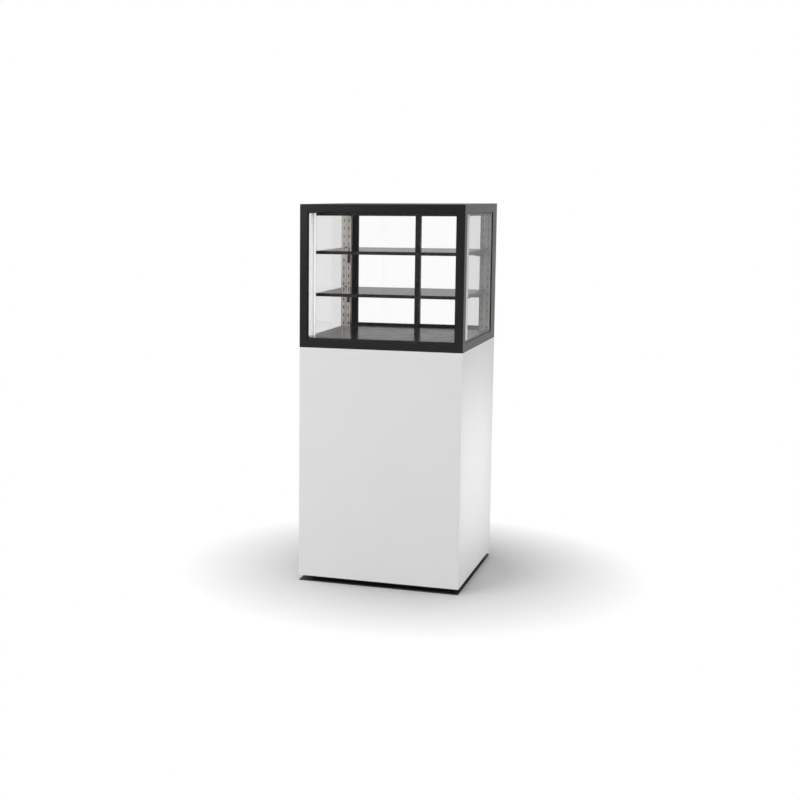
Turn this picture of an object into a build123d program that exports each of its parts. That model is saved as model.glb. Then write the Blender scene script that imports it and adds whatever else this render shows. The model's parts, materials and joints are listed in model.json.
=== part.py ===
from build123d import *
import math
import os

os.makedirs("parts", exist_ok=True)

# A free-standing square display case for hot food: a glazed case with two shelves and rear
# sliding doors on a tall white plinth that holds the heater, the fan and the controls.
# Millimetres. The origin is on the floor under the middle of the case, +Z is up,
# the customers' side faces -Y and the staff side faces +Y.

# ------------------------------------------------------------------ overall sizes
width = 600.0
depth = 600.0
plinth_height = 850.0            # white panels
case_height = 516.0              # glazed case, counter level to roof
floor_gap = 20.0                 # shadow gap between the floor and the panels

# ------------------------------------------------------------------ sheet metal and fits
sheet = 1.5                      # folded steel
thin_sheet = 1.2                 # light inner sheet
fold = 25.0                      # returns folded round each panel
panel_seam = 0.6                 # visible joint between two panels
seat = 0.3                       # gap between pieces that are lifted or slid into place
edge_radius = 1.2                # outside of a folded corner
small_chamfer = 0.5              # eased plate and glass edges

# ------------------------------------------------------------------ base
plate_thickness = 3.0
plate_inset = 1.0
plate_corner = 2.0
kick_inset = 40.0
kick_flange = 30.0
kick_wall = 2.0
bolt_inset = 15.0                # from the kick frame's outside to a bolt's centre
bolt_radius = 4.0
bolt_head_radius = 7.5
bolt_head_height = 5.0
bolt_reach = 6.0
bolt_clearance = 0.5

# ------------------------------------------------------------------ extruded case frame
post_face = 29.0                 # front post, seen from the front
post_thickness = 20.0            # front post and front rails, front to back
post_side = 39.0                 # front post, seen from the side
side_thickness = 12.0            # side rails, outside to inside
rear_post_face = 38.0
rear_post_depth = 78.0
bottom_rail_height = 30.0
top_front_height = 27.5
top_side_height = 29.5
rear_head_height = 41.5
roof_sheet = 1.5
rail_wall = 2.0
ledge_width = 12.0
ledge_thickness = 3.0
deck_ledge_height = 18.0         # from the rail's foot to the ledge's underside
canopy_ledge_drop = 9.5          # from the rail's top to the ledge's upper side
port_radius = 2.6
port_wall = 2.4
corner_radius = 0.8
track_web = 1.0                  # under the door tracks, beyond the rail wall

# ------------------------------------------------------------------ glass
glass = 4.0
glass_recess = 2.0               # outside face of the frame to the glass
groove_depth = 7.0
groove_play = 0.3                # each side of the glass
gasket_width = 3.0
gasket_thickness = 1.2

# ------------------------------------------------------------------ deck, heater and fan
deck_top_height = 35.0           # above counter level
deck_rim = 12.5
deck_slot_length = 42.0
deck_slot_width = 6.0
deck_slot_pitch = 56.0
deck_slot_inset = 26.0
deck_slot_count = 9
pan_length = 480.0
pan_depth = 400.0
pan_drop = 76.0
pan_shift = -20.0                # the pan sits forward of the middle
pan_corner = 30.0
pan_taper = 4.0                  # degrees
element_radius = 3.25
element_lift = 18.0              # pan floor to the element's centre
element_margin = 42.0            # pan side to the element's centre
element_bend = 24.0
element_pitch = 60.0             # between the two ends
element_tail = 14.0              # length outside the pan
element_hole_play = 0.4
clip_width = 10.0
clip_thickness = 1.6
motor_radius = 34.0
motor_height = 36.0
motor_gap = 9.0                  # motor top to the pan's underside
motor_plate = 104.0
motor_plate_thickness = 2.0
standoff_radius = 4.0
shaft_radius = 3.0
shaft_play = 0.05
shaft_hole_play = 4.0
shaft_in_motor = 12.0
motor_corner = 8.0
motor_chamfer = 4.0
standoff_inset = 10.0
impeller_radius = 55.0
impeller_height = 24.0
impeller_lift = 6.0              # pan floor to the impeller's back plate
impeller_plate = 1.5
hub_radius = 9.0
hub_height = 18.0
blade_count = 12
blade_thickness = 1.4
blade_root = 26.0
blade_sweep = 38.0               # degrees, root to tip
blade_bow = 3.0
blade_tip_gap = 1.0
inlet_outer = 74.0
inlet_inner = 36.0
inlet_lip = 9.0
inlet_gap = 5.0                  # impeller's top to the inlet ring
inlet_throat = 5.0               # throat's length below the ring
inlet_leg_radius = 3.0
inlet_leg_circle = 67.0
inlet_leg_count = 3

# ------------------------------------------------------------------ canopy and lamps
canopy_inset = 25.0              # from the case's side
canopy_front = 115.0             # from the case's front
canopy_lens_length = 440.0
canopy_lens_width = 46.0
canopy_lens_spacing = 230.0
canopy_lens_thickness = 3.0
lens_lap = 5.0
led_post_face = 11.0
led_post_depth = 34.0
led_post_front = 90.0            # from the case's front
led_wall = 1.6
led_post_corner = 1.2
led_cheek = 2.6                  # either side of the chamber
led_lens_width = 22.0
led_lens_thickness = 2.0
led_lens_play = 0.05

# ------------------------------------------------------------------ uprights and shelves
upright_face = 38.0
upright_depth = 14.7
upright_inset = 7.0              # from the case's side
slot_pitch = 31.0
slot_length = 12.0
slot_width = 3.4
slot_columns = 20.0
first_slot_height = 11.0         # above the deck
slot_end_margin = 14.0
shelf_above_slot = 8.0           # from a slot's centre to the foot of the shelf it carries
shelf_inset = 25.0
shelf_front = 115.0
shelf_rim = 8.0
shelf_glass = 4.0
shelf_bevel = 0.8
shelf_rear_gap = 2.0             # shelf to the uprights' faces
arm_thickness = 2.4
arm_bar = 6.0
arm_front_margin = 6.0
arm_straight = 110.0             # from the shelf's front, where the arm starts to deepen
arm_drop = 17.0                  # below the shelf's foot at the uprights
arm_root = 14.0
hook_drop = 5.0
hook_height = 6.0
hook_thickness = 2.6
hook_nose = 1.5
hook_play = 0.05
foil_thickness = 0.8
foil_margin = 22.0

# ------------------------------------------------------------------ sliding doors
door_thickness = 10.0
track_pitch = 14.0
track_inset = 38.0               # rear post's inner face to the front track's door
track_play = 0.5
track_depth = 8.0
head_track_depth = 14.0
door_stile = 21.0
door_foot = 22.0
door_head = 14.0
door_overlap = 22.0
door_end_gap = 1.0
door_lift = 10.0                 # how far the door stands up in the head track
door_groove = 6.0
pull_width = 9.0
pull_length = 90.0
pull_depth = 5.5
pull_margin = 2.0                # from the door's end
pull_height = 250.0              # above counter level

# ------------------------------------------------------------------ service door
door_gap = 3.0
door_recess = 1.0
service_depth = 20.0
pin_radius = 3.0
pin_play = 0.06
pin_from_side = 6.0
pin_from_face = 5.5
pin_reach = 10.0
pin_flange = 6.0
pin_flange_thickness = 1.5
pin_collar = 2.0
louvre_width = 190.0
louvre_spacing = 230.0
louvre_count = 9
louvre_pitch = 16.0
louvre_slot = 6.0
louvre_thickness = 1.2
louvre_top_margin = 40.0
cup_width = 30.0
cup_length = 110.0
cup_depth = 13.0
cup_lip = 4.0
cup_lip_thickness = 0.8
cup_wall = 2.0
cup_from_edge = 42.0
cup_height = 480.0
magnet_size = (40.0, 18.0, 16.0)
magnet_from_edge = 60.0
magnet_corner = 2.0
keeper_height = 10.0

# ------------------------------------------------------------------ control panel
panel_height = 118.0
panel_recess = 24.0
panel_return = 22.0
box_margin = 50.0
box_depth = 60.0
box_gap = 4.0
knob_from_side = 180.0
knob_radius = 21.0
knob_skirt = 24.0
knob_height = 15.0
knob_gap = 0.6
knob_skirt_edge = 2.0
knob_skirt_height = 4.0
knob_draft = 1.5
knob_crown = 1.5
knob_grips = 18                  # V-shaped grooves
knob_grip = 2.6
knob_grip_offset = 0.4
spindle_length = 9.0             # inside the knob
spindle_end_gap = 0.5
spindle_radius = 3.0
bush_radius = 5.0
thermostat_size = (46.0, 34.0, 40.0)
thermostat_chamfer = 3.0
switch_x = (-60.0, 0.0)
switch_width = 22.0
switch_length = 30.0
switch_bezel = 3.0
switch_bezel_thickness = 2.0
switch_body_depth = 26.0
switch_well = 11.0               # well for the rocker, below the panel
rocker_play = 0.4
rocker_tilt = 9.0                # degrees each side of level
rocker_proud = 4.0
rocker_pivot_height = 1.0        # above the panel
rocker_depth = 3.0               # below the pivot
rocker_end_gap = 0.6
rocker_dish = 1.6
rocker_wall = 2.0
display_from_side = 135.0
display_width = 78.0
display_height = 36.0
display_body_depth = 30.0
display_bezel = 3.0
display_bezel_thickness = 2.5
display_bezel_rounding = 0.8
display_screen_margin = 6.5
display_screen_depth = 1.2
inlet_from_side = 85.0
inlet_width = 28.0
inlet_height = 48.0
inlet_corner = 4.0
inlet_body_depth = 24.0
inlet_flange = 4.0
inlet_flange_thickness = 3.0
socket_width = 20.0
socket_height = 26.0
socket_depth = 19.0
socket_pins = ((-5.0, -3.5), (5.0, -3.5), (0.0, 4.5))
pin_blade = (2.0, 5.0)
pin_blade_length = 15.0
driver_size = (150.0, 44.0, 30.0)
driver_from_side = 220.0
driver_rounding = 3.0
driver_tab = (14.0, 18.0, 3.0)

# ------------------------------------------------------------------ thermostat bulb
bulb_radius = 3.0
bulb_length = 80.0
bulb_lift = 52.0                 # above the pan's floor
bulb_from_wall = 22.0
capillary_radius = 1.0
capillary_bend = 12.0
capillary_lap = 6.0              # inside the bulb

# ------------------------------------------------------------------ screws
screw_head_radius = 4.2
screw_head_depth = 1.8
screw_radius = 2.2
screw_length = 12.0
screw_socket_radius = 1.5
screw_socket_depth = 1.2
screw_inset = 11.0
screw_spacing = 20.0
screw_play = 0.1

# ------------------------------------------------------------------ planes and levels
left = -width / 2
right = width / 2
front = -depth / 2
rear = depth / 2
counter = floor_gap + plinth_height
case_top = counter + case_height
frame_top = case_top - roof_sheet
kick_top = floor_gap + sheet
rear_frame = rear - rear_post_depth
deck_top = counter + deck_top_height
deck_bottom = deck_top - deck_rim
canopy_bottom = frame_top - rear_head_height
ledge_top = counter + deck_ledge_height + ledge_thickness
canopy_ledge_top = frame_top - canopy_ledge_drop
front_glass_bottom = counter + bottom_rail_height
front_glass_top = frame_top - top_front_height
side_glass_top = frame_top - top_side_height
groove_width = glass + 2 * groove_play
groove_centre = glass_recess + glass / 2
pan_floor = ledge_top + thin_sheet - pan_drop
pan_inside = pan_floor + thin_sheet
upright_front = rear_frame - seat - upright_depth
shelf_rear = upright_front - shelf_rear_gap
inner_left = left + side_thickness
knob_x = right - knob_from_side
display_x = left + display_from_side
inlet_x = right - inlet_from_side
driver_x = left + driver_from_side


# ------------------------------------------------------------------ helpers
def write(piece, name):
    """Name a finished piece and write it as its own STEP file."""
    piece.part.label = name
    export_step(piece.part, f"parts/{name}.step")


def write_pair(piece, name):
    """Write a left-hand piece, and its mirror image as the right-hand one."""
    write(piece, f"{name}_left")
    with BuildPart() as opposite:
        mirror(piece.part, about=Plane.YZ)
    write(opposite, f"{name}_right")


def block(x, y, z, mode=Mode.ADD):
    """Add or cut a straight-sided length between two limits in X, Y and Z."""
    middle = [(low + high) / 2 for low, high in (x, y, z)]
    with Locations(tuple(middle)):
        Box(x[1] - x[0], y[1] - y[0], z[1] - z[0], mode=mode)


def at_y(y):
    """A sketch plane facing the front at depth y: its x is X and its y is Z."""
    return Plane.XZ.offset(-y)


def hollow(x, y, z, mouth, wall):
    """Cut the inside of a tray. mouth points out of its open side, such as (0, 1, 0)."""
    inside = []
    for (low, high), out in zip((x, y, z), mouth):
        inside.append((low + wall - 2 * wall * (out < 0), high - wall + 2 * wall * (out > 0)))
    block(*inside, mode=Mode.SUBTRACT)


# ------------------------------------------------------------------ base
with BuildPart() as base_plate:
    with BuildSketch():
        RectangleRounded(width - 2 * plate_inset, depth - 2 * plate_inset, plate_corner)
    extrude(amount=plate_thickness)
    chamfer(base_plate.faces().sort_by(Axis.Z)[-1].edges(), length=small_chamfer)
write(base_plate, "base_plate")

kick_length = width - 2 * kick_inset
kick_depth = depth - 2 * kick_inset
bolt_spots = GridLocations(kick_length - 2 * bolt_inset, kick_depth - 2 * bolt_inset, 2, 2)

with BuildPart() as kick_frame:
    with BuildSketch(Plane.XY.offset(plate_thickness)):
        RectangleRounded(kick_length, kick_depth, plate_corner + kick_wall)
    extrude(amount=kick_top - plate_thickness)
    with BuildSketch(Plane.XY.offset(plate_thickness + kick_wall)):
        RectangleRounded(kick_length - 2 * kick_wall, kick_depth - 2 * kick_wall, plate_corner)
    extrude(amount=kick_top - plate_thickness - 2 * kick_wall, mode=Mode.SUBTRACT)
    with BuildSketch(Plane.XY.offset(plate_thickness)):
        Rectangle(kick_length - 2 * kick_flange, kick_depth - 2 * kick_flange)
    extrude(amount=kick_top, mode=Mode.SUBTRACT)
    with BuildSketch(Plane.XY.offset(kick_top - kick_wall)):
        with bolt_spots:
            Circle(bolt_radius + bolt_clearance)
    extrude(amount=kick_wall, mode=Mode.SUBTRACT)
write(kick_frame, "kick_frame")

floor_x = right - sheet - seat
floor_y = rear - sheet - seat
floor_top = kick_top + sheet
with BuildPart() as plinth_floor:
    with BuildSketch(Plane.XY.offset(kick_top)):
        Rectangle(2 * floor_x, 2 * floor_y)
        notch = 2 * seat + panel_seam + sheet
        notch_y = front + fold - seat + notch / 2
        with Locations((-floor_x, notch_y), (floor_x, notch_y)):
            Rectangle(2 * (fold + seat - sheet), notch, mode=Mode.SUBTRACT)
    extrude(amount=sheet)
    side_flange_y = (front + fold + panel_seam + sheet + seat, floor_y - service_depth)
    for flange_x in (-floor_x, floor_x - sheet):
        block((flange_x, flange_x + sheet), side_flange_y, (kick_top, kick_top + fold))
    block((-floor_x, floor_x), (-floor_y, sheet - floor_y), (kick_top, kick_top + fold))
    with BuildSketch(Plane.XY.offset(kick_top)):
        with bolt_spots:
            Circle(bolt_radius + bolt_clearance)
    extrude(amount=sheet, mode=Mode.SUBTRACT)
write(plinth_floor, "plinth_floor")

with BuildPart() as base_bolts:
    with BuildSketch(Plane.XY.offset(floor_top)):
        with bolt_spots:
            RegularPolygon(radius=bolt_head_radius, side_count=6)
    extrude(amount=bolt_head_height)
    with BuildSketch(Plane.XY.offset(floor_top)):
        with bolt_spots:
            Circle(bolt_radius)
    extrude(amount=-bolt_reach)
write(base_bolts, "base_bolts")

# ------------------------------------------------------------------ plinth panels
front_panel_limits = ((left, right), (front, front + fold), (floor_gap, counter))
with BuildPart() as front_panel:
    block(*front_panel_limits)
    fillet(front_panel.edges().filter_by(Axis.Z).group_by(Axis.Y)[0], radius=edge_radius)
    hollow(*front_panel_limits, (0, 1, 0), sheet)
write(front_panel, "front_panel")

side_panel_limits = ((left, left + fold), (front + fold + panel_seam, rear), (floor_gap, counter))
with BuildPart() as side_panel:
    block(*side_panel_limits)
    fillet(side_panel.edges().filter_by(Axis.Z).group_by(Axis.X)[0], radius=edge_radius)
    hollow(*side_panel_limits, (1, 0, 0), sheet)
write_pair(side_panel, "side_panel")

# ------------------------------------------------------------------ control panel
fascia_face = rear - panel_recess
fascia_back = fascia_face - sheet
fascia_top = counter - sheet - seat
fascia_bottom = fascia_top - panel_height
fascia_middle = (fascia_top + fascia_bottom) / 2
fascia_x = right - sheet - seat
with BuildPart() as control_fascia:
    with BuildSketch(Plane.YZ.offset(-fascia_x)):
        with BuildLine():
            Polyline(
                (fascia_back - panel_return, fascia_top),
                (fascia_face, fascia_top),
                (fascia_face, fascia_bottom),
                (rear - sheet - seat, fascia_bottom),
                (rear - sheet - seat, fascia_bottom - sheet),
                (fascia_back, fascia_bottom - sheet),
                (fascia_back, fascia_top - sheet),
                (fascia_back - panel_return, fascia_top - sheet),
                close=True,
            )
        make_face()
    extrude(amount=2 * fascia_x)
    with BuildSketch(at_y(fascia_face)):
        with Locations((knob_x, fascia_middle)):
            Circle(bush_radius + bolt_clearance)
        for x in switch_x:
            with Locations((x, fascia_middle)):
                Rectangle(switch_width + 2 * seat, switch_length + 2 * seat)
        with Locations((display_x, fascia_middle)):
            Rectangle(display_width + 2 * seat, display_height + 2 * seat)
        with Locations((inlet_x, fascia_middle)):
            Rectangle(inlet_width + 2 * seat, inlet_height + 2 * seat)
    extrude(amount=sheet, mode=Mode.SUBTRACT)
write(control_fascia, "control_fascia")

box_x = right - box_margin
box_bottom = fascia_bottom + box_gap
box_top = fascia_top - sheet - box_gap
box_limits = ((-box_x, box_x), (fascia_back - box_depth, fascia_back), (box_bottom, box_top))
with BuildPart() as control_box:
    block(*box_limits)
    fillet(control_box.edges().filter_by(Axis.X).group_by(Axis.Y)[0], radius=edge_radius)
    hollow(*box_limits, (0, 1, 0), thin_sheet)
    with BuildSketch(at_y(fascia_back - box_depth)):
        with Locations((knob_x, fascia_middle)):
            Circle(capillary_bend / 2)
    extrude(amount=-thin_sheet, mode=Mode.SUBTRACT)
write(control_box, "control_box")

with BuildPart() as thermostat:
    body_x, body_y, body_z = thermostat_size
    with Locations((knob_x, fascia_back - body_y / 2, fascia_middle)):
        Box(body_x, body_y, body_z)
    chamfer(thermostat.edges().filter_by(Axis.Y), length=thermostat_chamfer)
    with BuildSketch(at_y(fascia_back)):
        with Locations((knob_x, fascia_middle)):
            Circle(bush_radius)
    extrude(amount=-(sheet + knob_gap / 2))
    with BuildSketch(at_y(fascia_face)):
        with Locations((knob_x, fascia_middle)):
            Circle(spindle_radius)
    extrude(amount=-(knob_gap + spindle_length))
write(thermostat, "thermostat")

knob_base = fascia_face + knob_gap
with BuildPart() as thermostat_knob:
    with BuildSketch(Plane.XY):
        with BuildLine():
            Polyline(
                (0, 0),
                (knob_skirt, 0),
                (knob_skirt, knob_skirt_edge),
                (knob_radius, knob_skirt_height),
                (knob_radius - knob_draft, knob_height - knob_crown),
                (knob_radius - knob_draft - knob_crown, knob_height),
                (0, knob_height),
                close=True,
            )
        make_face()
    revolve(axis=Axis.Y)
    with BuildSketch(Plane.XZ):
        with PolarLocations(knob_radius + knob_grip_offset, knob_grips):
            Rectangle(knob_grip, knob_grip, rotation=45)
    extrude(amount=-knob_height, mode=Mode.SUBTRACT)
    with BuildSketch(Plane.XZ):
        Circle(spindle_radius + shaft_play)
    extrude(amount=-(spindle_length + spindle_end_gap), mode=Mode.SUBTRACT)
with BuildPart() as placed_knob:
    with Locations((knob_x, knob_base, fascia_middle)):
        add(thermostat_knob.part)
write(placed_knob, "thermostat_knob")

# ------------------------------------------------------------------ rocker switches
pivot_y = fascia_face + rocker_pivot_height
with BuildPart() as switch_housings:
    for x in switch_x:
        with BuildSketch(at_y(fascia_face)):
            with Locations((x, fascia_middle)):
                Rectangle(switch_width + 2 * switch_bezel, switch_length + 2 * switch_bezel)
        extrude(amount=-switch_bezel_thickness)
        with BuildSketch(at_y(fascia_face)):
            with Locations((x, fascia_middle)):
                Rectangle(switch_width, switch_length)
        extrude(amount=switch_body_depth)
        with BuildSketch(at_y(fascia_face + switch_bezel_thickness)):
            with Locations((x, fascia_middle)):
                Rectangle(switch_width - 2 * rocker_wall, switch_length - 2 * rocker_wall)
        extrude(amount=switch_bezel_thickness + switch_well, mode=Mode.SUBTRACT)
write(switch_housings, "switch_housings")

rocker_length = switch_length - 2 * rocker_wall - 2 * rocker_play
rocker_width = switch_width - 2 * rocker_wall - 2 * rocker_play
for x, name in zip(switch_x, ("power_rocker", "light_rocker")):
    with BuildPart() as rocker:
        with BuildSketch(Plane.YZ.offset(x - rocker_width / 2)):
            with BuildLine():
                half = rocker_length / 2 - rocker_end_gap
                top = pivot_y + rocker_proud
                Polyline(
                    (pivot_y - rocker_depth, fascia_middle - half + rocker_depth),
                    (top, fascia_middle - half),
                    (top - rocker_dish, fascia_middle),
                    (top, fascia_middle + half),
                    (pivot_y - rocker_depth, fascia_middle + half - rocker_depth),
                    close=True,
                )
            make_face()
        extrude(amount=rocker_width)
        pivot = Axis((x, pivot_y, fascia_middle), (1, 0, 0))
        tilted = rocker.part.rotate(pivot, rocker_tilt)
    with BuildPart() as tilted_rocker:
        add(tilted)
    write(tilted_rocker, name)

with BuildPart() as temperature_display:
    with BuildSketch(at_y(fascia_face)):
        with Locations((display_x, fascia_middle)):
            RectangleRounded(
                display_width + 2 * display_bezel, display_height + 2 * display_bezel, display_bezel
            )
    extrude(amount=-display_bezel_thickness)
    fillet(temperature_display.faces().sort_by(Axis.Y)[-1].edges(), radius=display_bezel_rounding)
    with BuildSketch(at_y(fascia_face)):
        with Locations((display_x, fascia_middle)):
            Rectangle(display_width, display_height)
    extrude(amount=display_body_depth)
    with BuildSketch(at_y(fascia_face + display_bezel_thickness)):
        with Locations((display_x, fascia_middle)):
            Rectangle(
                display_width - 2 * display_screen_margin, display_height - 2 * display_screen_margin
            )
    extrude(amount=display_screen_depth, mode=Mode.SUBTRACT)
write(temperature_display, "temperature_display")

with BuildPart() as power_inlet:
    with BuildSketch(at_y(fascia_face)):
        with Locations((inlet_x, fascia_middle)):
            RectangleRounded(
                inlet_width + 2 * inlet_flange, inlet_height + 2 * inlet_flange, inlet_corner
            )
    extrude(amount=-inlet_flange_thickness)
    with BuildSketch(at_y(fascia_face)):
        with Locations((inlet_x, fascia_middle)):
            Rectangle(inlet_width, inlet_height)
    extrude(amount=inlet_body_depth)
    with BuildSketch(at_y(fascia_face + inlet_flange_thickness)):
        with Locations((inlet_x, fascia_middle)):
            RectangleRounded(socket_width, socket_height, inlet_corner)
    extrude(amount=socket_depth, mode=Mode.SUBTRACT)
    with BuildSketch(at_y(fascia_face + inlet_flange_thickness - socket_depth)):
        for across, up in socket_pins:
            with Locations((inlet_x + across, fascia_middle + up)):
                Rectangle(*pin_blade)
    extrude(amount=-pin_blade_length)
write(power_inlet, "power_inlet")

with BuildPart() as led_driver:
    driver_bottom = box_bottom + thin_sheet
    driver_y = fascia_back - box_depth + thin_sheet + driver_size[2] / 2
    with Locations((driver_x, driver_y, driver_bottom + driver_size[1] / 2)):
        Box(driver_size[0], driver_size[2], driver_size[1])
    fillet(led_driver.edges().filter_by(Axis.X), radius=driver_rounding)
    for end in (-1, 1):
        tab_x = driver_x + end * driver_size[0] / 2
        with Locations((tab_x, driver_y, driver_bottom + driver_tab[2] / 2)):
            Box(*driver_tab)
write(led_driver, "led_driver")

# ------------------------------------------------------------------ service door
service_x = right - fold - door_gap
service_face = rear - door_recess
service_back = service_face - service_depth
service_bottom = floor_top + door_gap
service_top = fascia_bottom - sheet - door_gap
pin_x = -service_x + pin_from_side
pin_y = service_face - pin_from_face
cup_x = service_x - cup_from_edge
cup_z = floor_gap + cup_height
skin = service_face - sheet

service_limits = (
    (-service_x, service_x),
    (service_back, service_face),
    (service_bottom, service_top),
)
with BuildPart() as service_door:
    block(*service_limits)
    fillet(service_door.edges().filter_by(Axis.Z).group_by(Axis.Y)[-1], radius=edge_radius)
    hollow(*service_limits, (0, -1, 0), sheet)
    with BuildSketch(Plane.XY.offset(service_bottom)):
        with Locations((pin_x, pin_y)):
            Circle(pin_radius + pin_play)
    extrude(amount=service_top - service_bottom, mode=Mode.SUBTRACT)
    with BuildSketch(at_y(service_face)):
        with Locations((cup_x, cup_z)):
            SlotOverall(cup_length, cup_width, rotation=90)
    extrude(amount=sheet, mode=Mode.SUBTRACT)
    for column in (-1, 1):
        louvre_x = column * louvre_spacing / 2 - louvre_width / 2
        for row in range(louvre_count):
            foot = service_top - louvre_top_margin - row * louvre_pitch
            block(
                (louvre_x, louvre_x + louvre_width),
                (skin, service_face),
                (foot, foot + louvre_slot),
                Mode.SUBTRACT,
            )
            with BuildSketch(Plane.YZ.offset(louvre_x)):
                with BuildLine():
                    reach = louvre_slot + louvre_thickness
                    CenterArc((skin, foot), louvre_slot, 90, 90)
                    Line((skin - louvre_slot, foot), (skin - reach, foot))
                    CenterArc((skin, foot), reach, 90, 90)
                    Line((skin, foot + reach), (skin, foot + louvre_slot))
                make_face()
            extrude(amount=louvre_width)
    keeper_x = service_x - magnet_from_edge
    block(
        (keeper_x - magnet_size[0] / 2, keeper_x + magnet_size[0] / 2),
        (service_back, service_back + sheet),
        (service_bottom, service_bottom + keeper_height),
    )
write(service_door, "service_door")

with BuildPart() as service_door_pull:
    with BuildSketch(at_y(service_face)):
        with Locations((cup_x, cup_z)):
            SlotOverall(cup_length + 2 * cup_lip, cup_width + 2 * cup_lip, rotation=90)
    extrude(amount=-cup_lip_thickness)
    with BuildSketch(at_y(service_face)):
        with Locations((cup_x, cup_z)):
            SlotOverall(cup_length - 2 * seat, cup_width - 2 * seat, rotation=90)
    extrude(amount=cup_depth)
    with BuildSketch(at_y(service_face + cup_lip_thickness)):
        with Locations((cup_x, cup_z)):
            SlotOverall(cup_length - 2 * cup_wall, cup_width - 2 * cup_wall, rotation=90)
    extrude(amount=cup_depth - sheet + cup_lip_thickness, mode=Mode.SUBTRACT)
write(service_door_pull, "service_door_pull")

with BuildPart() as door_pivots:
    for pin_foot, pin_seat, direction in (
        (floor_top, service_bottom - seat - floor_top, 1),
        (fascia_bottom - sheet, pin_flange_thickness, -1),
    ):
        with BuildSketch(Plane.XY.offset(pin_foot)):
            with Locations((pin_x, pin_y)):
                Circle(pin_flange if direction < 0 else pin_radius + pin_collar)
        extrude(amount=direction * pin_seat)
        with BuildSketch(Plane.XY.offset(pin_foot)):
            with Locations((pin_x, pin_y)):
                Circle(pin_radius)
        extrude(amount=direction * (door_gap + sheet + pin_reach))
write(door_pivots, "door_pivots")

with BuildPart() as door_magnet:
    magnet_y = service_back - seat - magnet_size[1] / 2
    with Locations((keeper_x, magnet_y, floor_top + magnet_size[2] / 2)):
        Box(*magnet_size)
    fillet(door_magnet.edges().filter_by(Axis.Z), radius=magnet_corner)
write(door_magnet, "door_magnet")

# ------------------------------------------------------------------ heater pan
with BuildPart() as heater_pan:
    for wall, mode in ((0.0, Mode.ADD), (thin_sheet, Mode.SUBTRACT)):
        with BuildSketch(Plane.XY.offset(ledge_top + thin_sheet)):
            with Locations((0, pan_shift)):
                RectangleRounded(pan_length - 2 * wall, pan_depth - 2 * wall, pan_corner - wall)
        extrude(amount=wall - pan_drop, taper=pan_taper, mode=mode)
    with BuildSketch(Plane.XY.offset(ledge_top)):
        pan_rim_y = (front + post_thickness + seat, rear_frame - seat)
        with Locations((0, (pan_rim_y[0] + pan_rim_y[1]) / 2)):
            Rectangle(2 * (-inner_left - seat), pan_rim_y[1] - pan_rim_y[0])
        with Locations((0, pan_shift)):
            RectangleRounded(
                pan_length - 2 * thin_sheet,
                pan_depth - 2 * thin_sheet,
                pan_corner - thin_sheet,
                mode=Mode.SUBTRACT,
            )
    extrude(amount=thin_sheet)
    with BuildSketch(Plane.XY.offset(pan_floor)):
        with Locations((0, pan_shift)):
            Circle(shaft_radius + shaft_hole_play)
    extrude(amount=thin_sheet, mode=Mode.SUBTRACT)
    element_z = pan_inside + element_lift
    pan_rear = pan_shift + pan_depth / 2
    with BuildSketch(at_y(pan_rear)):
        with Locations((-element_pitch / 2, element_z), (element_pitch / 2, element_z)):
            Circle(element_radius + element_hole_play)
    extrude(amount=pan_corner, mode=Mode.SUBTRACT)
    bulb_z = pan_inside + bulb_lift
    with BuildSketch(at_y(pan_rear)):
        with Locations((knob_x, bulb_z)):
            Circle(capillary_radius + element_hole_play)
    extrude(amount=pan_corner, mode=Mode.SUBTRACT)
write(heater_pan, "heater_pan")

element_x = pan_length / 2 - element_margin
element_front = pan_shift - pan_depth / 2 + element_margin
element_rear = pan_rear - element_margin - 2 * element_radius
element_end = pan_rear + element_tail
with BuildPart() as heating_element:
    with BuildLine():
        FilletPolyline(
            (-element_pitch / 2, element_end, element_z),
            (-element_pitch / 2, element_rear, element_z),
            (-element_x, element_rear, element_z),
            (-element_x, element_front, element_z),
            (element_x, element_front, element_z),
            (element_x, element_rear, element_z),
            (element_pitch / 2, element_rear, element_z),
            (element_pitch / 2, element_end, element_z),
            radius=element_bend,
        )
    with BuildSketch(Plane((-element_pitch / 2, element_end, element_z), z_dir=(0, -1, 0))):
        Circle(element_radius)
    sweep()
write(heating_element, "heating_element")

with BuildPart() as element_clips:
    for section_plane, run_x, run_z in (
        (at_y(pan_shift + clip_width / 2), -element_x, element_z),
        (at_y(pan_shift + clip_width / 2), element_x, element_z),
        (Plane.YZ.offset(-element_x / 2), element_front, element_z),
        (Plane.YZ.offset(element_x / 2), element_front, element_z),
    ):
        cradle = element_radius + clip_thickness
        with BuildSketch(section_plane):
            with Locations((run_x, run_z)):
                Circle(cradle)
                Circle(element_radius + shaft_play, mode=Mode.SUBTRACT)
            with Locations((run_x, run_z + cradle / 2)):
                Rectangle(2 * cradle, cradle, mode=Mode.SUBTRACT)
            leg = run_z - element_radius - shaft_play - pan_inside
            with Locations((run_x, pan_inside + leg / 2 - clip_thickness / 4)):
                Rectangle(clip_thickness, leg - clip_thickness / 2)
            with Locations((run_x, pan_inside + clip_thickness / 2)):
                Rectangle(2 * cradle, clip_thickness)
        extrude(amount=clip_width)
write(element_clips, "element_clips")

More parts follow.
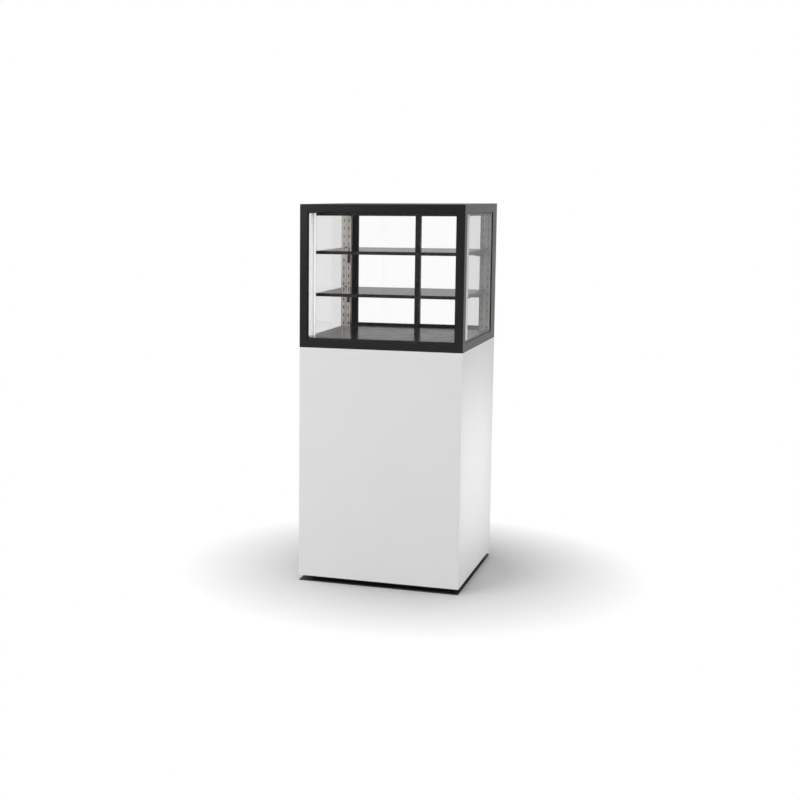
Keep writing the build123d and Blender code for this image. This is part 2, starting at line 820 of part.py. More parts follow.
# ------------------------------------------------------------------ fan
motor_top = pan_floor - motor_gap
with BuildPart() as fan_motor:
    with BuildSketch(Plane.XY.offset(motor_top)):
        with Locations((0, pan_shift)):
            RectangleRounded(motor_plate, motor_plate, motor_corner)
    extrude(amount=motor_plate_thickness)
    with BuildSketch(Plane.XY.offset(motor_top)):
        with Locations((0, pan_shift)):
            Circle(motor_radius)
    extrude(amount=-motor_height)
    chamfer(fan_motor.faces().sort_by(Axis.Z)[0].edges(), length=motor_chamfer)
    with BuildSketch(Plane.XY.offset(motor_top + motor_plate_thickness)):
        with Locations((0, pan_shift)):
            with GridLocations(
                motor_plate - 2 * standoff_inset, motor_plate - 2 * standoff_inset, 2, 2
            ):
                Circle(standoff_radius)
    extrude(amount=motor_gap - motor_plate_thickness)
    with BuildSketch(Plane.XY.offset(motor_top + motor_plate_thickness)):
        with Locations((0, pan_shift)):
            Circle(shaft_radius + shaft_play)
    extrude(amount=-2 * shaft_in_motor, mode=Mode.SUBTRACT)
write(fan_motor, "fan_motor")

impeller_z = pan_inside + impeller_lift
with BuildPart() as fan_rotor:
    with BuildSketch(Plane.XY.offset(impeller_z)):
        Circle(impeller_radius)
    extrude(amount=impeller_plate)
    with BuildSketch(Plane.XY.offset(impeller_z)) as blades:
        with BuildLine():
            tip = (impeller_radius - blade_tip_gap, 0)
            root_angle = math.radians(blade_sweep)
            root = (blade_root * math.cos(root_angle), blade_root * math.sin(root_angle))
            bow = ((tip[0] + root[0]) / 2 + blade_bow, (tip[1] + root[1]) / 2 + blade_bow)
            ThreePointArc(root, bow, tip)
            offset(amount=blade_thickness, side=Side.LEFT)
        make_face()
    blade = extrude(blades.sketch, amount=impeller_height, mode=Mode.PRIVATE)
    with PolarLocations(0, blade_count):
        add(blade)
    with BuildSketch(Plane.XY.offset(impeller_z)):
        Circle(hub_radius)
    extrude(amount=hub_height)
    with BuildSketch(Plane.XY.offset(impeller_z)):
        Circle(shaft_radius)
    extrude(amount=motor_top - shaft_in_motor - impeller_z)
with BuildPart() as placed_rotor:
    with Locations((0, pan_shift, 0)):
        add(fan_rotor.part)
write(placed_rotor, "fan_rotor")

inlet_z = impeller_z + impeller_height + inlet_gap
with BuildPart() as fan_inlet_ring:
    lip_start = (inlet_inner + inlet_lip, inlet_z + thin_sheet)
    lip_end = (inlet_inner + thin_sheet, inlet_z - inlet_throat)
    with BuildSketch(Plane.XZ):
        with BuildLine():
            Polyline((inlet_outer, inlet_z), (inlet_outer, inlet_z + thin_sheet), lip_start)
            RadiusArc(lip_start, lip_end, -inlet_lip)
            Polyline(
                lip_end,
                (inlet_inner, inlet_z - inlet_throat),
                (inlet_inner, inlet_z),
                (inlet_outer, inlet_z),
            )
        make_face()
    revolve(axis=Axis.Z)
    with BuildSketch(Plane.XY.offset(pan_inside)):
        with PolarLocations(inlet_leg_circle, inlet_leg_count):
            Circle(inlet_leg_radius)
    extrude(amount=inlet_z - pan_inside)
with BuildPart() as placed_ring:
    with Locations((0, pan_shift, 0)):
        add(fan_inlet_ring.part)
write(placed_ring, "fan_inlet_ring")

# ------------------------------------------------------------------ thermostat bulb
bulb_y = pan_rear - bulb_from_wall
box_back = fascia_back - box_depth
with BuildPart() as thermostat_bulb:
    with BuildSketch(Plane.YZ.offset(knob_x - bulb_length)):
        with Locations((bulb_y, bulb_z)):
            Circle(bulb_radius)
    extrude(amount=bulb_length - capillary_bend)
    with BuildLine():
        FilletPolyline(
            (knob_x - capillary_bend - capillary_lap, bulb_y, bulb_z),
            (knob_x, bulb_y, bulb_z),
            (knob_x, (pan_rear + box_back) / 2, bulb_z),
            (knob_x, (pan_rear + box_back) / 2, fascia_middle),
            (knob_x, fascia_back - thermostat_size[1], fascia_middle),
            radius=capillary_bend,
        )
    with BuildSketch(Plane((knob_x - capillary_bend - capillary_lap, bulb_y, bulb_z), z_dir=(1, 0, 0))):
        Circle(capillary_radius)
    sweep()
write(thermostat_bulb, "thermostat_bulb")

# ------------------------------------------------------------------ case posts
post_height = frame_top - counter
with BuildPart() as front_post:
    with BuildSketch(Plane.XY.offset(counter)):
        with BuildLine():
            Polyline(
                (left, front),
                (left + post_face, front),
                (left + post_face, front + post_thickness),
                (inner_left, front + post_thickness),
                (inner_left, front + post_side),
                (left, front + post_side),
                close=True,
            )
        make_face()
        with Locations((left + post_face - groove_depth / 2, front + groove_centre)):
            Rectangle(groove_depth, groove_width, mode=Mode.SUBTRACT)
        with Locations((left + groove_centre, front + post_side - groove_depth / 2)):
            Rectangle(groove_width, groove_depth, mode=Mode.SUBTRACT)
        port = port_wall + port_radius
        with Locations((left + port, front + port), (left + post_face - port, front + post_thickness - port)):
            Circle(port_radius, mode=Mode.SUBTRACT)
    extrude(amount=post_height)
    corner = front_post.edges().filter_by(Axis.Z).sort_by_distance((left, front, counter))[0]
    fillet(corner, radius=corner_radius)
write_pair(front_post, "front_post")

rear_post_middle = right - rear_post_face / 2
screw_middle = (counter + frame_top) / 2
screw_taper = math.degrees(math.atan2(screw_head_radius - screw_radius, screw_head_depth))


def screw_spots():
    """The four screws of a rear post, about the middle of its rear face."""
    return GridLocations(screw_spacing, post_height - 2 * screw_inset, 2, 2)


with BuildPart() as rear_posts:
    with BuildSketch(Plane.XY.offset(counter)):
        with Locations((left + rear_post_face / 2, rear - rear_post_depth / 2)):
            Rectangle(rear_post_face, rear_post_depth)
        with Locations((left + groove_centre, rear_frame + groove_depth / 2)):
            Rectangle(groove_width, groove_depth, mode=Mode.SUBTRACT)
        chamber_front = rear_frame + groove_depth + rail_wall
        chamber_depth = rear - rail_wall - chamber_front
        with Locations((left + rear_post_face / 2, chamber_front + chamber_depth / 2)):
            Rectangle(rear_post_face - 2 * rail_wall, chamber_depth, mode=Mode.SUBTRACT)
        for port_y in (chamber_front, rear - rail_wall):
            inward = 1 if port_y == chamber_front else -1
            with Locations((left + rear_post_face / 2, port_y + inward * port_radius)):
                Circle(port_radius + rail_wall)
        with Locations((left + rear_post_face / 2, chamber_front + chamber_depth / 2)):
            with GridLocations(1, chamber_depth - 2 * port_radius, 1, 2):
                Circle(port_radius, mode=Mode.SUBTRACT)
    extrude(amount=post_height)
    corner = rear_posts.edges().filter_by(Axis.Z).sort_by_distance((left, rear, counter))[0]
    fillet(corner, radius=corner_radius)
    with BuildSketch(at_y(rear)):
        with Locations((-rear_post_middle, screw_middle)):
            with screw_spots():
                Circle(screw_head_radius + screw_play)
    extrude(amount=rail_wall, taper=screw_taper, mode=Mode.SUBTRACT)
    with BuildSketch(at_y(rear)):
        with Locations((-rear_post_middle, screw_middle)):
            with screw_spots():
                Circle(screw_radius + screw_play)
    extrude(amount=rail_wall, mode=Mode.SUBTRACT)
    mirror(about=Plane.YZ)
write(rear_posts, "rear_posts")


# ------------------------------------------------------------------ case rails
def rail_section(plane, thickness, height, ledge_foot):
    """Hollow rail. Its x runs inward from the outside face, its y towards the glass groove."""
    with BuildSketch(plane) as section:
        with Locations((thickness / 2, height / 2)):
            Rectangle(thickness, height)
        with Locations((groove_centre, height - groove_depth / 2)):
            Rectangle(groove_width, groove_depth, mode=Mode.SUBTRACT)
        cavity = height - groove_depth - 2 * rail_wall
        with Locations((thickness / 2, rail_wall + cavity / 2)):
            Rectangle(thickness - 2 * rail_wall, cavity, mode=Mode.SUBTRACT)
        if ledge_foot is not None:
            with Locations((thickness + ledge_width / 2, ledge_foot + ledge_thickness / 2)):
                Rectangle(ledge_width, ledge_thickness)
    return section.sketch


front_rail_length = width - 2 * post_face
with BuildPart() as bottom_front_rail:
    foot = Plane((left + post_face, front, counter), x_dir=(0, 1, 0), z_dir=(1, 0, 0))
    section = rail_section(foot, post_thickness, bottom_rail_height, deck_ledge_height)
    extrude(section, amount=front_rail_length)
write(bottom_front_rail, "bottom_front_rail")

with BuildPart() as top_front_rail:
    head = Plane((right - post_face, front, frame_top), x_dir=(0, 1, 0), z_dir=(-1, 0, 0))
    extrude(rail_section(head, post_thickness, top_front_height, None), amount=front_rail_length)
write(top_front_rail, "top_front_rail")

side_rail_length = depth - post_side - rear_post_depth
with BuildPart() as bottom_side_rails:
    foot = Plane((left, rear_frame, counter), x_dir=(1, 0, 0), z_dir=(0, -1, 0))
    section = rail_section(foot, side_thickness, bottom_rail_height, deck_ledge_height)
    extrude(section, amount=side_rail_length)
    mirror(about=Plane.YZ)
write(bottom_side_rails, "bottom_side_rails")

with BuildPart() as top_side_rails:
    head = Plane((left, front + post_side, frame_top), x_dir=(1, 0, 0), z_dir=(0, 1, 0))
    section = rail_section(head, side_thickness, top_side_height, canopy_ledge_drop)
    extrude(section, amount=side_rail_length)
    mirror(about=Plane.YZ)
write(top_side_rails, "top_side_rails")

rear_span = width / 2 - rear_post_face
track_width = door_thickness + 2 * track_play
front_track = rear_frame + track_inset + door_thickness / 2
tracks = (front_track, front_track + track_pitch)
rear_middle = (rear_frame + rear) / 2


def track_rail(foot, height, grooves, mouth):
    """Rear rail with two door tracks; mouth is +1 where they open upward, -1 downward."""
    with BuildSketch(Plane.YZ.offset(-rear_span)) as section:
        with Locations((rear_middle, foot + height / 2)):
            Rectangle(rear_post_depth, height)
        groove_middle = foot + (height - grooves / 2 if mouth > 0 else grooves / 2)
        for track in tracks:
            with Locations((track, groove_middle)):
                Rectangle(track_width, grooves, mode=Mode.SUBTRACT)
        cavity = height - grooves - 2 * rail_wall - track_web
        cavity_middle = foot + (rail_wall + cavity / 2 if mouth > 0 else height - rail_wall - cavity / 2)
        with Locations((rear_middle, cavity_middle)):
            Rectangle(rear_post_depth - 2 * rail_wall, cavity, mode=Mode.SUBTRACT)
        if mouth > 0:
            ledge_middle = foot + deck_ledge_height + ledge_thickness / 2
            with Locations((rear_frame - ledge_width / 2, ledge_middle)):
                Rectangle(ledge_width, ledge_thickness)
    return section.sketch


with BuildPart() as bottom_rear_rail:
    extrude(track_rail(counter, bottom_rail_height, track_depth, 1), amount=2 * rear_span)
write(bottom_rear_rail, "bottom_rear_rail")

with BuildPart() as top_rear_rail:
    head_foot = frame_top - rear_head_height
    extrude(track_rail(head_foot, rear_head_height, head_track_depth, -1), amount=2 * rear_span)
write(top_rear_rail, "top_rear_rail")

with BuildPart() as roof_panel:
    with BuildSketch(Plane.XY.offset(frame_top)):
        RectangleRounded(width, depth, corner_radius)
    extrude(amount=roof_sheet)
write(roof_panel, "roof_panel")

with BuildPart() as frame_screws:
    for post_middle in (-rear_post_middle, rear_post_middle):
        with BuildSketch(at_y(rear)):
            with Locations((post_middle, screw_middle)):
                with screw_spots():
                    Circle(screw_head_radius)
        extrude(amount=screw_head_depth, taper=screw_taper)
        with BuildSketch(at_y(rear)):
            with Locations((post_middle, screw_middle)):
                with screw_spots():
                    Circle(screw_radius)
        extrude(amount=screw_length)
        with BuildSketch(at_y(rear)):
            with Locations((post_middle, screw_middle)):
                with screw_spots():
                    RegularPolygon(radius=screw_socket_radius, side_count=6)
        extrude(amount=screw_socket_depth, mode=Mode.SUBTRACT)
write(frame_screws, "frame_screws")

# ------------------------------------------------------------------ glass and gaskets
pane = groove_depth - groove_play
with BuildPart() as front_glass:
    block(
        (left + post_face - pane, right - post_face + pane),
        (front + glass_recess, front + glass_recess + glass),
        (front_glass_bottom - pane, front_glass_top + pane),
    )
    chamfer(front_glass.edges(), length=small_chamfer)
write(front_glass, "front_glass")

with BuildPart() as side_glass:
    block(
        (left + glass_recess, left + glass_recess + glass),
        (front + post_side - pane, rear_frame + pane),
        (front_glass_bottom - pane, side_glass_top + pane),
    )
    chamfer(side_glass.edges(), length=small_chamfer)
write_pair(side_glass, "side_glass")

glass_inside = glass_recess + glass
with BuildPart() as glazing_gaskets:
    with BuildSketch(at_y(front + glass_inside)):
        middle_z = (front_glass_bottom + front_glass_top) / 2
        with Locations((0, middle_z)):
            Rectangle(width - 2 * post_face, front_glass_top - front_glass_bottom)
            Rectangle(
                width - 2 * post_face - 2 * gasket_width,
                front_glass_top - front_glass_bottom - 2 * gasket_width,
                mode=Mode.SUBTRACT,
            )
    extrude(amount=-gasket_thickness)
    for side in (-1, 1):
        with BuildSketch(Plane.YZ.offset(side * (right - glass_inside))):
            middle_y = (front + post_side + rear_frame) / 2
            middle_z = (front_glass_bottom + side_glass_top) / 2
            with Locations((middle_y, middle_z)):
                Rectangle(side_rail_length, side_glass_top - front_glass_bottom)
                Rectangle(
                    side_rail_length - 2 * gasket_width,
                    side_glass_top - front_glass_bottom - 2 * gasket_width,
                    mode=Mode.SUBTRACT,
                )
        extrude(amount=-side * (upright_inset - glass_inside - seat))
write(glazing_gaskets, "glazing_gaskets")

# ------------------------------------------------------------------ deck
deck_x = -inner_left - 2 * seat
deck_front = front + post_thickness + 2 * seat
deck_rear = rear_frame - 2 * seat
deck_limits = ((-deck_x, deck_x), (deck_front, deck_rear), (deck_bottom, deck_top))
with BuildPart() as deck_plate:
    block(*deck_limits)
    fillet(deck_plate.faces().sort_by(Axis.Z)[-1].edges(), radius=edge_radius)
    hollow(*deck_limits, (0, 0, -1), sheet)
    with BuildSketch(Plane.XY.offset(deck_top)):
        with Locations((0, deck_front + deck_slot_inset), (0, upright_front - deck_slot_inset / 2)):
            with GridLocations(deck_slot_pitch, 1, deck_slot_count, 1):
                SlotOverall(deck_slot_length, deck_slot_width)
    extrude(amount=-sheet, mode=Mode.SUBTRACT)
write(deck_plate, "deck_plate")

# ------------------------------------------------------------------ canopy and lamps
canopy_x = right - canopy_inset
canopy_y = (front + canopy_front, rear_frame - seat)
canopy_limits = ((-canopy_x, canopy_x), canopy_y, (canopy_bottom, canopy_ledge_top + thin_sheet))
with BuildPart() as canopy:
    block(*canopy_limits)
    fillet(canopy.faces().sort_by(Axis.Z)[0].edges(), radius=edge_radius)
    hollow(*canopy_limits, (0, 0, 1), thin_sheet)
    for side in (-1, 1):
        flange_x = sorted((side * canopy_x, side * (-inner_left - seat)))
        block(flange_x, canopy_y, (canopy_ledge_top, canopy_ledge_top + thin_sheet))
    with BuildSketch(Plane.XY.offset(canopy_bottom)):
        with Locations((0, sum(canopy_y) / 2)):
            with GridLocations(1, canopy_lens_spacing, 1, 2):
                SlotOverall(canopy_lens_length, canopy_lens_width)
    extrude(amount=thin_sheet, mode=Mode.SUBTRACT)
write(canopy, "canopy")

with BuildPart() as canopy_lenses:
    for grow, level, rise in (
        (lens_lap, canopy_bottom + thin_sheet, canopy_lens_thickness),
        (-seat, canopy_bottom, thin_sheet),
    ):
        with BuildSketch(Plane.XY.offset(level)):
            with Locations((0, sum(canopy_y) / 2)):
                with GridLocations(1, canopy_lens_spacing, 1, 2):
                    SlotOverall(canopy_lens_length + 2 * grow, canopy_lens_width + 2 * grow)
        extrude(amount=rise)
write(canopy_lenses, "canopy_lenses")

post_x = (inner_left + seat, inner_left + seat + led_post_face)
post_y = (front + led_post_front, front + led_post_front + led_post_depth)
led_foot = deck_top
led_height = canopy_ledge_top - ledge_thickness - seat - led_foot
led_y = sum(post_y) / 2
with BuildPart() as led_posts:
    with BuildSketch(Plane.XY.offset(led_foot)):
        with Locations((sum(post_x) / 2, led_y)):
            RectangleRounded(led_post_face, led_post_depth, led_post_corner)
            Rectangle(
                led_post_face - 2 * led_lens_thickness - led_wall,
                led_post_depth - 2 * led_cheek,
                mode=Mode.SUBTRACT,
            )
        with Locations((post_x[1] - led_lens_thickness, led_y)):
            Rectangle(2 * led_lens_thickness, led_lens_width, mode=Mode.SUBTRACT)
    extrude(amount=led_height)
    mirror(about=Plane.YZ)
write(led_posts, "led_posts")

with BuildPart() as led_lenses:
    with BuildSketch(Plane.XY.offset(led_foot)):
        with Locations((post_x[1] - led_lens_thickness, led_y)):
            Rectangle(2 * led_lens_thickness, led_lens_width - 2 * led_lens_play)
    extrude(amount=led_height)
    mirror(about=Plane.YZ)
write(led_lenses, "led_lenses")

# ------------------------------------------------------------------ uprights
upright_x = left + upright_inset + upright_face / 2
upright_rear = upright_front + upright_depth
upright_half = upright_face / 2
first_slot = deck_top + first_slot_height
slot_count = int((canopy_bottom - slot_end_margin - first_slot) // slot_pitch) + 1
with BuildPart() as upright:
    with BuildSketch(Plane.XY.offset(deck_top)):
        with BuildLine():
            Polyline(
                (upright_x - upright_half + sheet, upright_rear),
                (upright_x - upright_half + sheet, upright_front + sheet),
                (upright_x + upright_half - sheet, upright_front + sheet),
                (upright_x + upright_half - sheet, upright_rear),
            )
            offset(amount=sheet, side=Side.RIGHT)
        make_face()
    extrude(amount=canopy_bottom - seat - deck_top)
    slot_middle = first_slot + (slot_count - 1) * slot_pitch / 2
    with BuildSketch(at_y(upright_front)):
        with Locations((upright_x, slot_middle)):
            with GridLocations(slot_columns, slot_pitch, 2, slot_count):
                Rectangle(slot_width, slot_length)
    extrude(amount=-sheet, mode=Mode.SUBTRACT)
write_pair(upright, "upright")

# ------------------------------------------------------------------ shelves
shelf_x = right - shelf_inset
shelf_y = (front + shelf_front, shelf_rear)
arm_x = upright_x + slot_columns / 2
levels = {
    "middle": first_slot + slot_count // 3 * slot_pitch + shelf_above_slot,
    "upper": first_slot + 2 * slot_count // 3 * slot_pitch + shelf_above_slot,
}
for name, foot in levels.items():
    shelf_limits = ((-shelf_x, shelf_x), shelf_y, (foot, foot + shelf_rim))
    with BuildPart() as shelf:
        block(*shelf_limits)
        fillet(shelf.edges().filter_by(Axis.Z), radius=edge_radius)
        hollow(*shelf_limits, (0, 0, -1), thin_sheet)
    write(shelf, f"shelf_{name}")
    with BuildPart() as shelf_top:
        block((-shelf_x, shelf_x), shelf_y, (foot + shelf_rim, foot + shelf_rim + shelf_glass))
        chamfer(shelf_top.faces().sort_by(Axis.Z)[-1].edges(), length=shelf_bevel)
    write(shelf_top, f"shelf_glass_{name}")

with BuildPart() as heater_foils:
    for foot in levels.values():
        foil_top = foot + shelf_rim - thin_sheet
        block(
            (-shelf_x + foil_margin, shelf_x - foil_margin),
            (shelf_y[0] + foil_margin, shelf_y[1] - foil_margin),
            (foil_top - foil_thickness, foil_top),
        )
write(heater_foils, "heater_foils")

with BuildPart() as shelf_arms:
    for foot in levels.values():
        bar_top = foot + shelf_rim - thin_sheet
        bar_foot = bar_top - arm_bar
        neck = foot - seat
        slot_foot = foot - shelf_above_slot - slot_length / 2
        hook_seat = slot_foot + hook_play
        web = upright_front
        with BuildSketch(Plane.YZ.offset(arm_x - arm_thickness / 2)):
            with BuildLine():
                Polyline(
                    (shelf_y[0] + thin_sheet + arm_front_margin, bar_top),
                    (shelf_y[0] + thin_sheet + arm_front_margin, bar_foot),
                    (shelf_y[0] + arm_straight, bar_foot),
                    (web - seat - arm_root, foot - arm_drop),
                    (web - seat - arm_root, hook_seat - slot_pitch - hook_drop),
                    (web - seat, hook_seat - slot_pitch - hook_drop),
                    (web - seat, neck),
                    (shelf_y[1] - thin_sheet - seat, neck),
                    (shelf_y[1] - thin_sheet - seat, bar_top),
                    close=True,
                )
            make_face()
            for hook_foot in (hook_seat, hook_seat - slot_pitch):
                with BuildLine():
                    Polyline(
                        (web - seat, hook_foot),
                        (web + sheet + seat, hook_foot),
                        (web + sheet + seat, hook_foot - hook_drop),
                        (web + sheet + seat + hook_thickness, hook_foot - hook_drop),
                        (web + sheet + seat + hook_thickness, hook_foot + hook_height - hook_nose),
                        (web + sheet + seat + hook_thickness - hook_nose, hook_foot + hook_height),
                        (web - seat, hook_foot + hook_height),
                        close=True,
                    )
                make_face()
        extrude(amount=arm_thickness)
    mirror(about=Plane.YZ)
write(shelf_arms, "shelf_arms")

# ------------------------------------------------------------------ sliding doors
door_foot_z = counter + bottom_rail_height - track_depth + seat
door_head_z = frame_top - rear_head_height + door_lift
door_width = rear_span - door_end_gap + door_overlap / 2
door_middle = -rear_span + door_end_gap + door_width / 2
light_bottom = door_foot_z + door_foot
light_top = door_head_z - door_head
light_width = door_width - 2 * door_stile
for side, track, name in ((-1, tracks[0], "left"), (1, tracks[1], "right")):
    middle = -side * door_middle
    with BuildPart() as frame:
        with BuildSketch(at_y(track + door_thickness / 2)):
            with Locations((middle, (door_foot_z + door_head_z) / 2)):
                Rectangle(door_width, door_head_z - door_foot_z)
            with Locations((middle, (light_bottom + light_top) / 2)):
                Rectangle(light_width, light_top - light_bottom, mode=Mode.SUBTRACT)
        extrude(amount=door_thickness)
        for end in (0, -1):
            fillet(frame.edges().filter_by(Axis.Z).group_by(Axis.X)[end], radius=corner_radius)
        block(
            (middle - light_width / 2 - door_groove - seat, middle + light_width / 2 + door_groove + seat),
            (track - glass / 2 - groove_play, track + glass / 2 + groove_play),
            (light_bottom - door_groove - seat, light_top + door_groove + seat),
            Mode.SUBTRACT,
        )
        with BuildSketch(at_y(track + door_thickness / 2)):
            pull_x = middle + side * (door_width / 2 - pull_width / 2 - pull_margin)
            with Locations((pull_x, counter + pull_height)):
                SlotOverall(pull_length, pull_width, rotation=90)
        extrude(amount=pull_depth, mode=Mode.SUBTRACT)
    write(frame, f"door_{name}_frame")
    with BuildPart() as pane_piece:
        block(
            (middle - light_width / 2 - door_groove, middle + light_width / 2 + door_groove),
            (track - glass / 2, track + glass / 2),
            (light_bottom - door_groove, light_top + door_groove),
        )
    write(pane_piece, f"door_{name}_glass")
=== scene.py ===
import json
import math

import bmesh
import bpy
from mathutils import Matrix, Vector
from mathutils.bvhtree import BVHTree

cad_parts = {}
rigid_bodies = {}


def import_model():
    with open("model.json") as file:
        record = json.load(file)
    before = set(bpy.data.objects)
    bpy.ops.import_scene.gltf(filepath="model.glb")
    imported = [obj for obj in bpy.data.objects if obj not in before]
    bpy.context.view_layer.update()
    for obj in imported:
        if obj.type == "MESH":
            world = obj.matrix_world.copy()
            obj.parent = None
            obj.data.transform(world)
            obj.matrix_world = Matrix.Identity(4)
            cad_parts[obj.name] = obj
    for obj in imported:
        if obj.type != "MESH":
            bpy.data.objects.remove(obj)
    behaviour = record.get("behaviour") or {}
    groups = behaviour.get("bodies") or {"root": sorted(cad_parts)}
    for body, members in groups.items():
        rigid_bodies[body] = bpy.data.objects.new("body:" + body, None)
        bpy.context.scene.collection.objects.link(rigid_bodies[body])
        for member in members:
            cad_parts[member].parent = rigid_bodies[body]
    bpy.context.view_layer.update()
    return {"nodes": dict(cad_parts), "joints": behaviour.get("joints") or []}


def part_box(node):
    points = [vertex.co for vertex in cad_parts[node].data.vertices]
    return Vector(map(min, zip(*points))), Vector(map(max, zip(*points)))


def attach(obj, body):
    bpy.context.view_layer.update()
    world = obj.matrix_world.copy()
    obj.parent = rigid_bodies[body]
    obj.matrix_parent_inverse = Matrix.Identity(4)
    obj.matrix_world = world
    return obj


for leftover in list(bpy.data.objects):
    bpy.data.objects.remove(leftover)
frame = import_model()
nodes = frame["nodes"]
joints = {joint["name"]: joint for joint in frame["joints"]}
scene = bpy.context.scene
MM = 0.001


# ------------------------------------------------------------------ camera
def make_camera():
    """The view of the photograph, solved from the straight edges of the case and the plinth."""
    lens = bpy.data.cameras.new("camera")
    lens.sensor_width = 36.0
    lens.lens = 62.29
    lens.shift_x = 0.1693
    lens.shift_y = -0.0239
    camera = bpy.data.objects.new("camera", lens)
    scene.collection.objects.link(camera)
    camera.location = (1.2696, -5.0526, 1.4209)
    camera.rotation_euler = (math.radians(90 - 7.68), 0.0, math.radians(19.73))
    scene.camera = camera


scene.view_settings.view_transform = "Standard"
make_camera()


# ------------------------------------------------------------------ shader nodes
class Nodes:
    """A node tree, with short ways to add to it."""

    def __init__(self, tree):
        self.tree = tree
        self.tree.nodes.clear()

    def add(self, kind, **properties):
        node = self.tree.nodes.new(kind)
        for key, value in properties.items():
            setattr(node, key, value)
        return node

    def join(self, source, target):
        """A node's output is linked to the socket; a plain value is set on it."""
        if isinstance(source, bpy.types.NodeSocket):
            self.tree.links.new(source, target)
        else:
            target.default_value = source

    def math(self, operation, first, second):
        node = self.add("ShaderNodeMath", operation=operation)
        self.join(first, node.inputs[0])
        self.join(second, node.inputs[1])
        return node.outputs[0]

    def rays(self, *kinds):
        """1 on a ray of any of these kinds, such as "Camera" or "Glossy"."""
        path = self.add("ShaderNodeLightPath")
        total = path.outputs[f"Is {kinds[0]} Ray"]
        for kind in kinds[1:]:
            total = self.math("MAXIMUM", total, path.outputs[f"Is {kind} Ray"])
        return total

    def straight(self):
        """1 on a ray that left the camera and has met nothing but clear glass."""
        path = self.add("ShaderNodeLightPath")
        unmirrored = self.math("LESS_THAN", path.outputs["Glossy Depth"], 0.5)
        through = self.math("MULTIPLY", path.outputs["Is Transmission Ray"], unmirrored)
        return self.math("MAXIMUM", path.outputs["Is Camera Ray"], through)

    def between(self, source, low, high, start=0.3, end=0.7, ease="SMOOTHSTEP"):
        """Spreads source, from start to end, over low to high."""
        spread = self.add("ShaderNodeMapRange", interpolation_type=ease)
        sockets = ("Value", "From Min", "From Max", "To Min", "To Max")
        for socket, value in zip(sockets, (source, start, end, low, high)):
            self.join(value, spread.inputs[socket])
        return spread.outputs["Result"]

    def either(self, share, first, second):
        """The first shader, or the second where share is 1."""
        mixed = self.add("ShaderNodeMixShader")
        for source, target in zip((share, first, second), mixed.inputs):
            self.join(source, target)
        return mixed.outputs["Shader"]


class Paint(Nodes):
    """One node-based material. Sizes are in metres, in the frame of the piece it is on."""

    def __init__(self, name, colour, roughness, **settings):
        self.material = bpy.data.materials.new(name)
        self.material.use_nodes = True
        super().__init__(self.material.node_tree)
        self.shader = self.add("ShaderNodeBsdfPrincipled")
        self.surface = self.add("ShaderNodeOutputMaterial").inputs["Surface"]
        self.join(self.shader.outputs["BSDF"], self.surface)
        self.place = self.add("ShaderNodeTexCoord").outputs["Object"]
        self.relief = None
        self.set("Base Color", (*colour, 1.0))
        self.set("Roughness", roughness)
        for key, value in settings.items():
            self.set(key.replace("_", " "), value)

    def set(self, socket, value):
        self.join(value, self.shader.inputs[socket])

    def stretched(self, scale):
        mapping = self.add("ShaderNodeMapping")
        mapping.inputs["Scale"].default_value = scale
        self.join(self.place, mapping.inputs["Vector"])
        return mapping.outputs["Vector"]

    def noise(self, size, detail=2.0, rough=0.5, stretch=None, seed=0.0):
        texture = self.add("ShaderNodeTexNoise", noise_dimensions="4D")
        values = {"Scale": 1.0 / size, "Detail": detail, "Roughness": rough, "W": seed}
        for socket, value in values.items():
            texture.inputs[socket].default_value = value
        self.join(self.stretched(stretch) if stretch else self.place, texture.inputs["Vector"])
        return texture.outputs["Fac"]

    def cells(self, size):
        texture = self.add("ShaderNodeTexVoronoi")
        texture.inputs["Scale"].default_value = 1.0 / size
        self.join(self.place, texture.inputs["Vector"])
        return texture.outputs["Color"]

    def vary(self, factor, first, second):
        """The colour goes from first to second as factor goes from 0 to 1."""
        mix = self.add("ShaderNodeMix", data_type="RGBA")
        self.join(factor, mix.inputs["Factor"])
        for socket, colour in ((mix.inputs[6], first), (mix.inputs[7], second)):
            socket.default_value = (*colour, 1.0)
        self.set("Base Color", mix.outputs[2])

    def bump(self, height, depth, strength=1.0):
        """Bumps of that depth in metres, added to those already there."""
        node = self.add("ShaderNodeBump")
        node.inputs["Strength"].default_value = strength
        node.inputs["Distance"].default_value = depth
        self.join(height, node.inputs["Height"])
        if self.relief is not None:
            self.join(self.relief, node.inputs["Normal"])
        self.relief = node.outputs["Normal"]
        self.set("Normal", self.relief)


# ------------------------------------------------------------------ materials
# No roughness runs across 0.27 to 0.29, where the renderer's brightness has a small step.
def powder_coat(name, pale, dark, roughness, grain=0.0009, depth=0.00003, cloudy=0.04, **settings):
    """Baked powder: a faint orange peel, with slow changes of tone and gloss."""
    paint = Paint(name, pale, roughness, **settings)
    paint.vary(paint.between(paint.noise(0.35, detail=3.0), 0.0, 1.0), pale, dark)
    cloud = paint.noise(0.05, detail=3.0, seed=3.0)
    paint.set("Roughness", paint.between(cloud, roughness - cloudy, roughness + cloudy))
    paint.bump(paint.noise(grain, detail=1.0, seed=5.0), depth)
    return paint


def brushed(name, colour, roughness, stretch, grain=0.0006, detail=3.0, streak=0.84):
    """Brushed metal: fine scratches along the axis that stretch leaves long."""
    paint = Paint(name, colour, roughness, Metallic=1.0)
    lines = paint.noise(grain, detail, rough=0.7, stretch=stretch)
    darker = tuple(streak * channel for channel in colour)
    paint.vary(paint.between(lines, 0.0, 1.0, 0.35, 0.65), darker, colour)
    cloud = paint.noise(0.12, detail=2.0, seed=2.0)
    paint.set("Roughness", paint.between(cloud, roughness - 0.04, roughness + 0.04))
    paint.bump(lines, 0.00001)
    return paint


